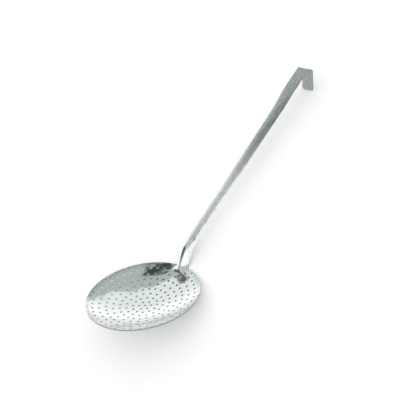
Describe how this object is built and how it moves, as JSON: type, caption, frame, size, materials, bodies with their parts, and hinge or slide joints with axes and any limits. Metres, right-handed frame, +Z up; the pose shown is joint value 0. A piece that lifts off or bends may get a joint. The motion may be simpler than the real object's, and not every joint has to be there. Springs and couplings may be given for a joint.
{
  "type": "skimmer",
  "caption": "Flat handled kitchen skimmer: a shallow round perforated metal dish on a long channel handle that ends in a folded hanging hook",
  "frame": {"origin": "On the table under the middle of the bounding box, with the skimmer lying on the dish's underside and the end of its hook", "axes": "+Z up, +X along the handle from the dish to the hook, +Y to the left of the handle seen from the dish"},
  "size_m": [0.5074, 0.16, 0.0645],
  "materials": {
    "steel": "polished stainless steel sheet with fine brushing along the handle"
  },
  "bodies": {
    "root": {"skimmer": "steel"}
  },
  "joints": []
}
